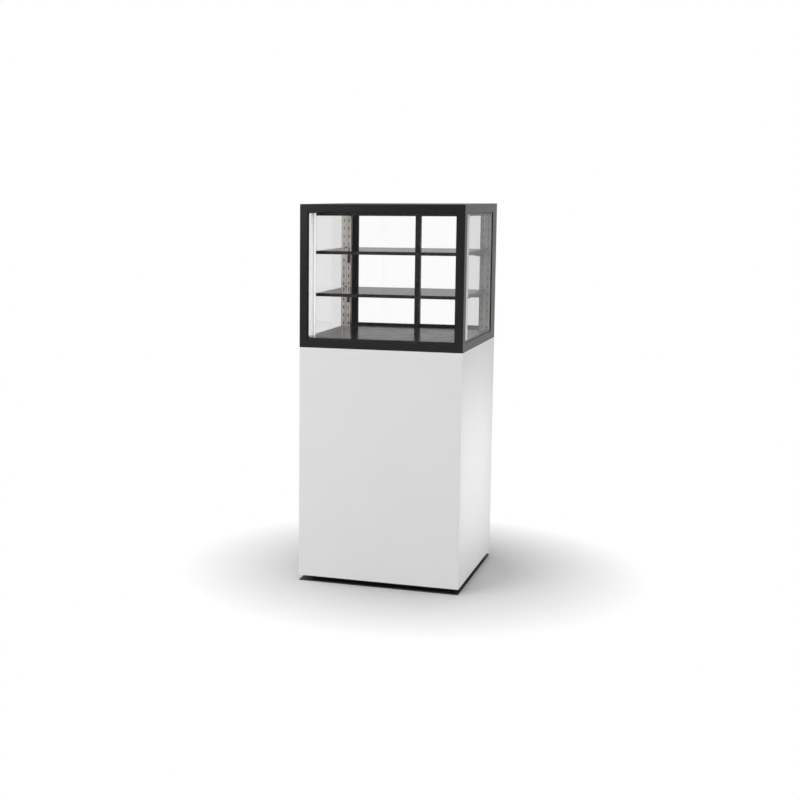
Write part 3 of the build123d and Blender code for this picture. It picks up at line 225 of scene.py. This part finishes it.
def moulded(name, colour, roughness, grain=0.0004, depth=0.00002, **settings):
    """Moulded plastic or rubber with a spark-eroded grain."""
    paint = Paint(name, colour, roughness, **settings)
    speck = paint.noise(grain, detail=1.0)
    lighter = tuple(min(1.0, 1.3 * channel + 0.004) for channel in colour)
    paint.vary(paint.between(speck, 0.0, 1.0), colour, lighter)
    cloud = paint.noise(0.03, detail=2.0, seed=1.0)
    paint.set("Roughness", paint.between(cloud, roughness - 0.04, roughness + 0.06))
    paint.bump(speck, depth)
    return paint


def window_glass(name, clear, index):
    """Toughened glass with faint wiping marks. The lamps shine through it into the case."""
    paint = Paint(name, clear, 0.0, Transmission_Weight=1.0, IOR=index)
    wiped = paint.noise(0.012, detail=3.0, stretch=(1.0, 1.0, 0.12))
    paint.set("Roughness", paint.between(wiped, 0.0, 0.02, 0.45, 0.8))
    streaked = tuple(0.99 * channel for channel in clear)
    paint.vary(paint.between(wiped, 0.0, 1.0), clear, streaked)
    open_air = paint.add("ShaderNodeBsdfTransparent").outputs["BSDF"]
    through = paint.rays("Shadow", "Diffuse")
    paint.join(paint.either(through, paint.shader.outputs["BSDF"], open_air), paint.surface)
    return paint


white = powder_coat(
    "white_panel", (0.800, 0.794, 0.792), (0.785, 0.779, 0.777), 0.33, depth=0.000008, cloudy=0.02,
)
black = powder_coat(
    "black_frame", (0.004, 0.004, 0.0045), (0.003, 0.003, 0.0035), 0.23,
    grain=0.0007, depth=0.00001, cloudy=0.015, Specular_IOR_Level=0.45,
)
base_black = powder_coat("black_base", (0.012, 0.012, 0.012), (0.009, 0.009, 0.009), 0.45)
enamel = powder_coat(
    "black_enamel", (0.010, 0.010, 0.011), (0.008, 0.008, 0.009), 0.16, grain=0.0016, depth=0.000005,
)
motor_paint = powder_coat(
    "motor_enamel", (0.035, 0.036, 0.038), (0.026, 0.027, 0.028), 0.4, grain=0.0012,
)
white_with_painted_glow = powder_coat(         # painted glow: a faint emission stands in for its own lamp's light on the post
    "white_aluminium", (0.94, 0.94, 0.94), (0.92, 0.92, 0.92), 0.4,
    grain=0.0006, Emission_Color=(1.0, 1.0, 1.0, 1.0), Emission_Strength=0.12,
)

black_glass = Paint("black_glass", (0.004, 0.004, 0.005), 0.06)
black_glass.set("Roughness", black_glass.between(black_glass.noise(0.06, 4.0), 0.04, 0.11))
black_glass.bump(black_glass.noise(0.09, 1.0, seed=4.0), 0.00004, 0.4)

side_pane = window_glass("side_pane", (0.84, 0.84, 0.84), 1.12)
clear_pane = window_glass("clear_pane", (0.997, 0.999, 0.997), 1.25)

lens = moulded(
    "opal_lens", (0.90, 0.90, 0.89), 0.37, Emission_Color=(1.0, 0.98, 0.95, 1.0), Emission_Strength=0.68,
)
digit_glow = moulded(
    "lit_digit", (0.9, 0.12, 0.06), 0.4, Emission_Color=(1.0, 0.10, 0.04, 1.0), Emission_Strength=2.2,
)
digit_dark = moulded("unlit_digit", (0.035, 0.008, 0.007), 0.4)
screen_cover = moulded("display_window", (0.010, 0.004, 0.004), 0.10, grain=0.002, depth=0.000004)
ink = moulded("white_print", (0.78, 0.78, 0.77), 0.45, grain=0.0002, depth=0.000004)

ALONG_X, ALONG_Z = (0.02, 1.0, 1.0), (1.0, 1.0, 0.02)
steel_up = brushed(
    "stainless_upright", (0.48, 0.45, 0.425), 0.36, ALONG_Z, grain=0.007, detail=5.0, streak=0.62,
)
steel_flat = brushed("stainless_flat", (0.50, 0.49, 0.475), 0.36, ALONG_X)
steel_clip = brushed("stainless_clip", (0.60, 0.59, 0.575), 0.20, ALONG_X)

tube = Paint("heater_tube", (0.20, 0.19, 0.18), 0.42, Metallic=0.85)
burnt = tube.between(tube.noise(0.045, detail=3.0), 0.0, 1.0, 0.4, 0.62)
tube.vary(burnt, (0.24, 0.22, 0.21), (0.11, 0.085, 0.075))
tube.bump(tube.noise(0.0008, 2.0), 0.00002)

galvanised = Paint("galvanised", (0.46, 0.47, 0.49), 0.38, Metallic=1.0)
spangle = galvanised.cells(0.011)
galvanised.vary(galvanised.between(spangle, 0.0, 1.0, 0.1, 0.9), (0.40, 0.41, 0.43), (0.56, 0.57, 0.59))
galvanised.set("Roughness", galvanised.between(spangle, 0.32, 0.48, 0.1, 0.9))

zinc = Paint("zinc_fastener", (0.50, 0.51, 0.53), 0.33, Metallic=1.0)
film = zinc.noise(0.004, detail=3.0)
zinc.vary(zinc.between(film, 0.0, 1.0), (0.55, 0.56, 0.60), (0.44, 0.43, 0.40))
zinc.set("Roughness", zinc.between(film, 0.32, 0.42))

alloy = Paint("bare_aluminium", (0.66, 0.66, 0.67), 0.36, Metallic=1.0)
alloy.set("Roughness", alloy.between(alloy.noise(0.02, 4.0), 0.32, 0.46))
alloy.bump(alloy.noise(0.0012, 3.0), 0.00002)

plastic = moulded("black_plastic", (0.014, 0.014, 0.014), 0.5)
rocker_plastic = moulded("rocker_plastic", (0.016, 0.016, 0.017), 0.36, grain=0.0009, depth=0.00001)
rubber = moulded("black_silicone", (0.012, 0.012, 0.012), 0.62, grain=0.0005)

pile = Paint("seal_pile", (0.03, 0.03, 0.032), 0.85, Sheen_Weight=0.4)
tufts = pile.noise(0.0006, detail=1.0, stretch=(0.2, 0.2, 1.0))
pile.vary(pile.between(tufts, 0.0, 1.0), (0.02, 0.02, 0.021), (0.06, 0.06, 0.062))
pile.bump(tufts, 0.0002)

mat_rubber = Paint("heater_mat", (0.33, 0.07, 0.035), 0.6)
weave = mat_rubber.noise(0.0009, detail=1.0, stretch=(1.0, 0.25, 1.0))
mat_rubber.vary(mat_rubber.between(weave, 0.0, 1.0), (0.36, 0.08, 0.04), (0.25, 0.05, 0.025))
mat_rubber.bump(weave, 0.00006)

finishes = {
    white: ("front_panel", "side_panel_left", "side_panel_right", "service_door"),
    black: (
        "front_post_left", "front_post_right", "rear_posts", "bottom_front_rail", "bottom_rear_rail",
        "bottom_side_rails", "top_front_rail", "top_rear_rail", "top_side_rails", "roof_panel", "canopy",
        "door_left_frame", "door_right_frame", "control_fascia", "shelf_middle", "shelf_upper", "shelf_arms",
    ),
    base_black: ("base_plate", "kick_frame"),
    enamel: ("deck_plate",),
    black_glass: ("shelf_glass_middle", "shelf_glass_upper"),
    side_pane: ("side_glass_left", "side_glass_right"),
    clear_pane: ("front_glass", "door_left_glass", "door_right_glass"),
    white_with_painted_glow: ("led_posts",),
    lens: ("led_lenses", "canopy_lenses"),
    steel_up: ("upright_left", "upright_right", "thermostat_bulb"),
    steel_flat: ("heater_pan", "fan_inlet_ring", "door_pivots"),
    tube: ("heating_element",),
    galvanised: ("plinth_floor", "control_box"),
    zinc: ("element_clips", "base_bolts", "frame_screws"),
    motor_paint: ("fan_motor",),
    alloy: ("fan_rotor",),
    plastic: (
        "thermostat_knob", "thermostat", "switch_housings", "power_inlet", "temperature_display",
        "service_door_pull", "led_driver", "door_magnet",
    ),
    rocker_plastic: ("power_rocker", "light_rocker"),
    rubber: ("glazing_gaskets",),
    mat_rubber: ("heater_foils",),
}
for paint, names in finishes.items():
    for name in names:
        nodes[name].data.materials.clear()
        nodes[name].data.materials.append(paint.material)


# ------------------------------------------------------------------ eased edges
def ease(piece, width):
    """A small round on every sharp edge, which catches the light as a coated edge does."""
    weld = piece.modifiers.new("weld", "WELD")
    weld.merge_threshold = 0.01 * MM
    bevel = piece.modifiers.new("bevel", "BEVEL")
    bevel.width = width
    bevel.segments = 2
    bevel.limit_method = "ANGLE"
    bevel.angle_limit = math.radians(40)
    bevel.harden_normals = True


edge_rounds = {                     # in millimetres
    0.5: ("front_panel", "side_panel_left", "side_panel_right", "base_plate", "control_fascia", "deck_plate"),
    0.35: (
        "front_post_left", "front_post_right", "rear_posts", "bottom_front_rail", "bottom_rear_rail",
        "bottom_side_rails", "top_front_rail", "top_rear_rail", "top_side_rails", "roof_panel",
    ),
    0.3: ("door_left_frame", "door_right_frame", "shelf_arms", "kick_frame", "upright_left", "upright_right"),
    0.2: (
        "shelf_glass_middle", "shelf_glass_upper", "led_posts", "power_rocker", "light_rocker", "power_inlet",
    ),
}
for width, names in edge_rounds.items():
    for name in names:
        ease(nodes[name], width * MM)


# ------------------------------------------------------------------ building pieces
def surface(name, start, direction):
    """Where a line first meets a node, and which way the surface faces there."""
    mesh = nodes[name].data
    corners = [vertex.co for vertex in mesh.vertices]
    tree = BVHTree.FromPolygons(corners, [face.vertices for face in mesh.polygons])
    place, facing, _, _ = tree.ray_cast(Vector(start), Vector(direction))
    return place, facing


def facing_staff(place, facing=(0.0, 1.0, 0.0)):
    """Axes for work on a face that the staff see: x to their right, y up, z out of the face."""
    out = Vector(facing).normalized()
    across = Vector((-1.0, 0.0, 0.0))
    axes = Matrix((across, out.cross(across), out)).transposed().to_4x4()
    return Matrix.Translation(place) @ axes


class Piece:
    """A mesh built from simple outlines, each put in place by its own axes."""

    def __init__(self, name):
        self.name = name
        self.shape = bmesh.new()

    def slab(self, outline, thickness, axes):
        """A flat outline, given as x and y, made thickness high along z."""
        foot = [self.shape.verts.new(axes @ Vector((x, y, 0.0))) for x, y in outline]
        head = [self.shape.verts.new(axes @ Vector((x, y, thickness))) for x, y in outline]
        self.shape.faces.new(reversed(foot))
        self.shape.faces.new(head)
        for i, corner in enumerate(foot):
            self.shape.faces.new((corner, foot[i - 1], head[i - 1], head[i]))

    def rounded(self, length, width, radius, thickness, axes, steps=5):
        """A slab with rounded corners, centred on its axes."""
        outline = []
        for quarter in range(4):
            side_x = 1 if quarter in (0, 3) else -1
            side_y = 1 if quarter in (0, 1) else -1
            for step in range(steps + 1):
                turn = math.radians(90 * (quarter + step / steps))
                x = side_x * (length / 2 - radius) + radius * math.cos(turn)
                y = side_y * (width / 2 - radius) + radius * math.sin(turn)
                outline.append((x, y))
        self.slab(outline, thickness, axes)

    def turned(self, profile, axes, steps=32):
        """A profile of radius and height turned about z."""
        rings = []
        for radius, height in profile:
            ring = []
            for step in range(steps):
                turn = 2 * math.pi * step / steps
                point = Vector((radius * math.cos(turn), radius * math.sin(turn), height))
                ring.append(self.shape.verts.new(axes @ point))
            rings.append(ring)
        for lower, upper in zip(rings, rings[1:]):
            for i in range(steps):
                self.shape.faces.new((lower[i - 1], lower[i], upper[i], upper[i - 1]))
        self.shape.faces.new(reversed(rings[0]))
        self.shape.faces.new(rings[-1])

    def words(self, text, height, thickness, axes):
        """Plain printed figures, centred on their axes."""
        letters = bpy.data.curves.new("letters", "FONT")
        letters.body = text
        letters.size = height / 0.7
        letters.extrude = thickness / 2
        letters.align_x = "CENTER"
        letters.align_y = "CENTER"
        letters.resolution_u = 3
        holder = bpy.data.objects.new("letters", letters)
        mesh = bpy.data.meshes.new_from_object(holder)
        mesh.transform(axes @ Matrix.Translation((0.0, 0.0, thickness / 2)))
        self.shape.from_mesh(mesh)
        bpy.data.meshes.remove(mesh)
        bpy.data.objects.remove(holder)

    def done(self, paint, body, slot):
        """The finished object, flat shaded, which rides on the body."""
        bmesh.ops.recalc_face_normals(self.shape, faces=self.shape.faces)
        mesh = bpy.data.meshes.new(self.name)
        self.shape.to_mesh(mesh)
        self.shape.free()
        for face in mesh.polygons:
            face.use_smooth = False
        mesh.materials.append(paint.material)
        piece = bpy.data.objects.new(self.name, mesh)
        scene.collection.objects.link(piece)
        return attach(piece, body)


# ------------------------------------------------------------------ control panel details
PRINT = 0.03 * MM                   # how thick the print is
knob = Vector(joints["thermostat_turn"]["pos_m"])
knob_low, knob_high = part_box("thermostat_knob")
knob_radius = (knob_high.x - knob_low.x) / 2
panel, _ = surface("control_fascia", (knob.x, knob.y + 0.1, knob.z + 1.4 * knob_radius), (0, -1, 0))
knob_sweep = 270.0                  # degrees, as the joint's range
knob_start = -knob_sweep / 2


def on_dial(turn, radius):
    """A place at that many degrees clockwise from the top, as the staff see the dial."""
    middle = facing_staff((knob.x, panel.y, knob.z))
    return middle @ Matrix.Rotation(math.radians(-turn), 4, "Z") @ Matrix.Translation((0.0, radius, 0.0))


def make_dial():
    """Ticks round the knob every 5 degrees Celsius, with a figure at every 10."""
    dial = Piece("dial_print")
    temperatures = range(30, 115, 5)
    for i, temperature in enumerate(temperatures):
        turn = knob_start + knob_sweep * i / (len(temperatures) - 1)
        major = temperature % 10 == 0
        length = (3.2 if major else 1.8) * MM
        tick = on_dial(turn, knob_radius + 2.2 * MM + length / 2)
        dial.rounded(0.7 * MM, length, 0.3 * MM, PRINT, tick, steps=2)
        if major:
            upright = Matrix.Rotation(math.radians(turn), 4, "Z")
            figure = on_dial(turn, knob_radius + 10.5 * MM) @ upright
            dial.words(str(temperature), 4.2 * MM, PRINT, figure)
    dial.done(ink, "cabinet", "white_panel")


def make_pointer():
    """A bar on the knob's crown that points at the dial's first figure at rest."""
    pointer = Piece("knob_pointer")
    crown = facing_staff((knob.x, knob_high.y - 0.3 * MM, knob.z))
    turned = crown @ Matrix.Rotation(math.radians(-knob_start), 4, "Z")
    length = 12.0 * MM
    pointer.rounded(2.0 * MM, length, 0.99 * MM, 0.45 * MM, turned @ Matrix.Translation((0, length, 0)))
    ease(pointer.done(ink, "knob", "white_panel"), 0.15 * MM)


def rocker_marks(name, body):
    """A bar for on at the top of a rocker, and a ring for off at its foot."""
    low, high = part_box(name)
    middle = (low + high) / 2
    reach = 0.26 * (high.z - low.z)
    thick = 0.14 * MM
    inner, outer = 1.5 * MM, 2.4 * MM
    marks = Piece(f"{body}_marks")
    for side in (1, -1):
        place, facing = surface(name, (middle.x, high.y + 0.01, middle.z + side * reach), (0, -1, 0))
        axes = facing_staff(place - facing * 0.1 * MM, facing)
        if side > 0:
            marks.rounded(1.0 * MM, 4.6 * MM, 0.3 * MM, thick, axes, steps=2)
        else:
            marks.turned([(inner, 0.0), (outer, 0.0), (outer, thick), (inner, thick)], axes)
    marks.done(ink, body, "white_panel")


make_dial()
make_pointer()
rocker_marks("power_rocker", "power_switch")
rocker_marks("light_rocker", "light_switch")


# The seven strokes of a digit: middle of each, in half widths and half heights, and its turn.
STROKES = {
    "top": (0, 1, 0), "upper_right": (1, 0.5, 90), "lower_right": (1, -0.5, 90), "foot": (0, -1, 0),
    "lower_left": (-1, -0.5, 90), "upper_left": (-1, 0.5, 90), "bar": (0, 0, 0),
}
DIGITS = {
    "6": ("top", "upper_left", "bar", "lower_left", "lower_right", "foot"),
    "5": ("top", "upper_left", "bar", "lower_right", "foot"),
    "degree": ("top", "upper_left", "upper_right", "bar"),
    "C": ("top", "upper_left", "lower_left", "foot"),
}


def make_display():
    """The window of the temperature display, with strokes that glow and strokes that don't."""
    low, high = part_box("temperature_display")
    middle = (low + high) / 2
    recess, _ = surface("temperature_display", (middle.x, high.y + 0.01, middle.z), (0, -1, 0))
    axes = facing_staff((middle.x, recess.y, middle.z))
    bezel = 10.2 * MM
    cover = 0.9 * MM
    window = Piece("display_window")
    window.rounded(high.x - low.x - 2 * bezel, high.z - low.z - 2 * bezel, 0.8 * MM, cover, axes)
    ease(window.done(screen_cover, "cabinet", "black_plastic"), 0.2 * MM)

    lit, unlit = Piece("display_digits"), Piece("display_unlit")
    half_width, half_height, stroke = 3.1 * MM, 6.0 * MM, 0.75 * MM
    pitch = 13.0 * MM
    gap = 0.35 * MM                 # between a stroke's end and the next stroke's axis
    slant = 7                       # degrees
    for place, digit in enumerate(DIGITS):
        x = (place - 1.5) * pitch
        for name, (across, up, turn) in STROKES.items():
            length = (half_height / 2 if turn else half_width) - gap
            outline = [
                (-length, 0), (stroke - length, -stroke), (length - stroke, -stroke),
                (length, 0), (length - stroke, stroke), (stroke - length, stroke),
            ]
            lean = 0.12 * up * half_height
            shift = Matrix.Translation((x + across * half_width + lean, up * half_height, cover))
            tilt = Matrix.Rotation(math.radians(turn - slant if turn else 0), 4, "Z")
            piece = lit if name in DIGITS[digit] else unlit
            piece.slab(outline, 0.06 * MM, axes @ shift @ tilt)
    lit.done(digit_glow, "cabinet", "opal_lens")
    unlit.done(digit_dark, "cabinet", "black_plastic")


make_display()


def screw_head(piece, axes, radius):
    """A low domed head with a round socket, its profile in shares of the radius."""
    profile = ((0.42, 0.15), (0.42, 0.5), (0.75, 0.46), (1.0, 0.1), (1.0, 0.0))
    piece.turned([(radius * out, radius * up) for out, up in profile], axes, steps=24)


def make_panel_screws():
    """Screws along the control panel's top and foot, and through the uprights' webs."""
    screws = Piece("panel_screws")
    low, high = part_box("service_door")      # as wide as the part of the panel that shows
    inset, row = 12 * MM, 46 * MM
    for x in (low.x + inset, 0.0, high.x - inset):
        for z in (knob.z - row, knob.z + row):
            screw_head(screws, facing_staff((x, panel.y, z)), 3.4 * MM)
    to_customer = Matrix.Rotation(math.pi, 4, "Z")
    for side in ("left", "right"):
        low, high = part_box(f"upright_{side}")
        for z in (low.z + 4.5 * MM, high.z - 5.5 * MM):
            axes = to_customer @ facing_staff((-(low.x + high.x) / 2, -low.y, z))
            screw_head(screws, axes, 2.6 * MM)
    screws.done(zinc, "cabinet", "zinc_steel")


make_panel_screws()


# ------------------------------------------------------------------ shelf clips and door seals
def make_shelf_clips():
    """Bent strips behind each shelf that hold its glass down against the uprights."""
    thick, width = 0.8 * MM, 14 * MM
    for level in ("middle", "upper"):
        glass_low, glass_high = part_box(f"shelf_glass_{level}")
        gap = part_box("upright_left")[0].y - glass_high.y
        back = glass_high.y + 0.5 * gap
        edge = glass_high.y
        foot = glass_low.z - 9 * MM
        top = glass_high.z + 0.3 * MM
        clips = Piece(f"shelf_clips_{level}")
        outline = [                 # y and z: up behind the glass, over it, and a lifted lip
            (back + thick / 2, foot), (back + thick / 2, top + thick), (edge - 7 * MM, top + thick),
            (edge - 9.5 * MM, top + 2.6 * MM), (edge - 10 * MM, top + 2.0 * MM), (edge - 7.4 * MM, top),
            (back - thick / 2, top), (back - thick / 2, foot),
        ]
        for side in ("left", "right"):
            low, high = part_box(f"upright_{side}")
            start = (low.x + high.x) / 2 - width / 2
            axes = Matrix(((0, 0, 1, start), (1, 0, 0, 0), (0, 1, 0, 0), (0, 0, 0, 1)))
            clips.slab(outline, width, axes)
        ease(clips.done(steel_clip, "cabinet", "stainless"), 0.2 * MM)


def make_pile_seal():
    """A strip of pile down the left door's meeting stile, which brushes the right door."""
    low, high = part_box("door_left_frame")
    other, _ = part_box("door_right_frame")
    x = high.x - 6 * MM
    reach = other.y - high.y - 0.5 * MM     # its tip stays this far from the other door
    seal = Piece("door_pile_seal")
    outline = [
        (-2.4 * MM, 0.0), (2.4 * MM, 0.0), (2.4 * MM, 0.9 * MM), (1.1 * MM, 1.0 * MM), (0.9 * MM, reach),
        (-0.9 * MM, reach), (-1.1 * MM, 1.0 * MM), (-2.4 * MM, 0.9 * MM),
    ]
    end_gap = 12 * MM
    axes = Matrix.Translation((x, high.y, low.z + end_gap))
    seal.slab(outline, high.z - low.z - 2 * end_gap, axes)
    seal.done(pile, "left_door", "gasket_rubber")


make_shelf_clips()
make_pile_seal()


# ------------------------------------------------------------------ floor, light and background
FAR_REFLECTION = 0.50               # how bright the far floor looks in a reflection
WALL = 0.45                         # the same of the walls
FILL = 0.55                         # the light that comes from all round
PURE_WHITE = 1.0                    # the backdrop behind the case and beyond the floor's shadow
SHADOW_MIDDLE = (0.05, 0.02)        # a little to the right of the case and behind its middle
FADE_START, FADE_END = 0.36, 0.88   # metres from there, where the painted shade round the case fades to white


def make_floor():
    """A pale floor that takes the real shadow near the case, with painted shade round it: lit grey floor that
    fades to white away from the case.
    """
    mesh = bpy.data.meshes.new("floor")
    shape = bmesh.new()
    bmesh.ops.create_grid(shape, x_segments=1, y_segments=1, size=30.0)
    shape.to_mesh(mesh)
    shape.free()
    floor = bpy.data.objects.new("floor", mesh)
    scene.collection.objects.link(floor)
    floor.location = (*SHADOW_MIDDLE, -0.5 * MM)
    paint = Paint("floor", (0.56, 0.56, 0.56), 0.6)
    paint.bump(paint.noise(0.01, 2.0), 0.0001, 0.2)
    distance = paint.add("ShaderNodeVectorMath", operation="LENGTH")
    paint.join(paint.stretched((1.0, 1.0, 0.0)), distance.inputs[0])
    away = distance.outputs["Value"]
    seen = paint.rays("Camera", "Glossy", "Transmission")
    # Painted shade: the lit grey floor near the case is mixed into white emission by distance, a painted soft
    # shadow round the real one.
    faded = paint.between(away, 0.0, 1.0, FADE_START, FADE_END, "LINEAR")
    share = paint.math("MULTIPLY", seen, faded)
    white_out = paint.add("ShaderNodeEmission")
    reflected = paint.between(away, PURE_WHITE, FAR_REFLECTION, 2.5, 7.0)
    paint.join(paint.math("MAXIMUM", paint.straight(), reflected), white_out.inputs["Strength"])
    mixed = paint.either(share, paint.shader.outputs["BSDF"], white_out.outputs["Emission"])
    paint.join(mixed, paint.surface)
    mesh.materials.append(paint.material)


def make_world():
    """An even fill. Reflections see dimmer walls above the floor and a bright ceiling."""
    world = bpy.data.worlds.new("studio")
    scene.world = world
    world.use_nodes = True
    sky = Nodes(world.node_tree)
    direction = sky.add("ShaderNodeSeparateXYZ")
    sky.join(sky.add("ShaderNodeTexCoord").outputs["Generated"], direction.inputs[0])
    up = direction.outputs["Z"]
    wall = sky.between(up, FAR_REFLECTION, WALL, 0.0, 0.03)
    room = sky.math("ADD", wall, sky.between(up, 0.0, 0.5, 0.35, 0.75))
    lights = []
    for strength in (FILL, room, PURE_WHITE):
        light = sky.add("ShaderNodeBackground")
        sky.join(strength, light.inputs["Strength"])
        light.inputs["Color"].default_value = (1.0, 1.0, 1.0, 1.0)
        lights.append(light.outputs[0])
    fill, studio, backdrop = lights
    mirrored = sky.either(sky.rays("Glossy", "Transmission"), fill, studio)
    output = sky.add("ShaderNodeOutputWorld")
    sky.join(sky.either(sky.straight(), mirrored, backdrop), output.inputs["Surface"])


def make_lamp(name, place, target, size, power, spread=180):
    """A softbox. A spread under 180 degrees narrows its beam."""
    lamp = bpy.data.lights.new(name, "AREA")
    lamp.shape = "RECTANGLE"
    lamp.size, lamp.size_y = size
    lamp.energy = power
    lamp.spread = math.radians(spread)
    holder = bpy.data.objects.new(name, lamp)
    scene.collection.objects.link(holder)
    holder.location = place
    holder.rotation_euler = (Vector(target) - Vector(place)).to_track_quat("-Z", "Y").to_euler()


make_floor()
make_world()
make_lamp("top_softbox", (-0.6, -1.2, 4.2), (0.0, 0.0, 0.9), (3.0, 3.0), 67)
make_lamp("front_softbox", (-2.6, -3.6, 2.4), (0.0, 0.0, 0.7), (2.0, 2.4), 60)
make_lamp("rear_softbox", (1.0, 4.2, 3.2), (0.0, 0.0, 0.7), (2.4, 2.0), 31)
# The side lamp's narrow beam leaves the side panel's top and foot darker than its middle.
make_lamp("side_softbox", (3.2, -0.5, 0.6), (0.3, 0.0, 0.47), (0.55, 0.4), 1.3, 30)
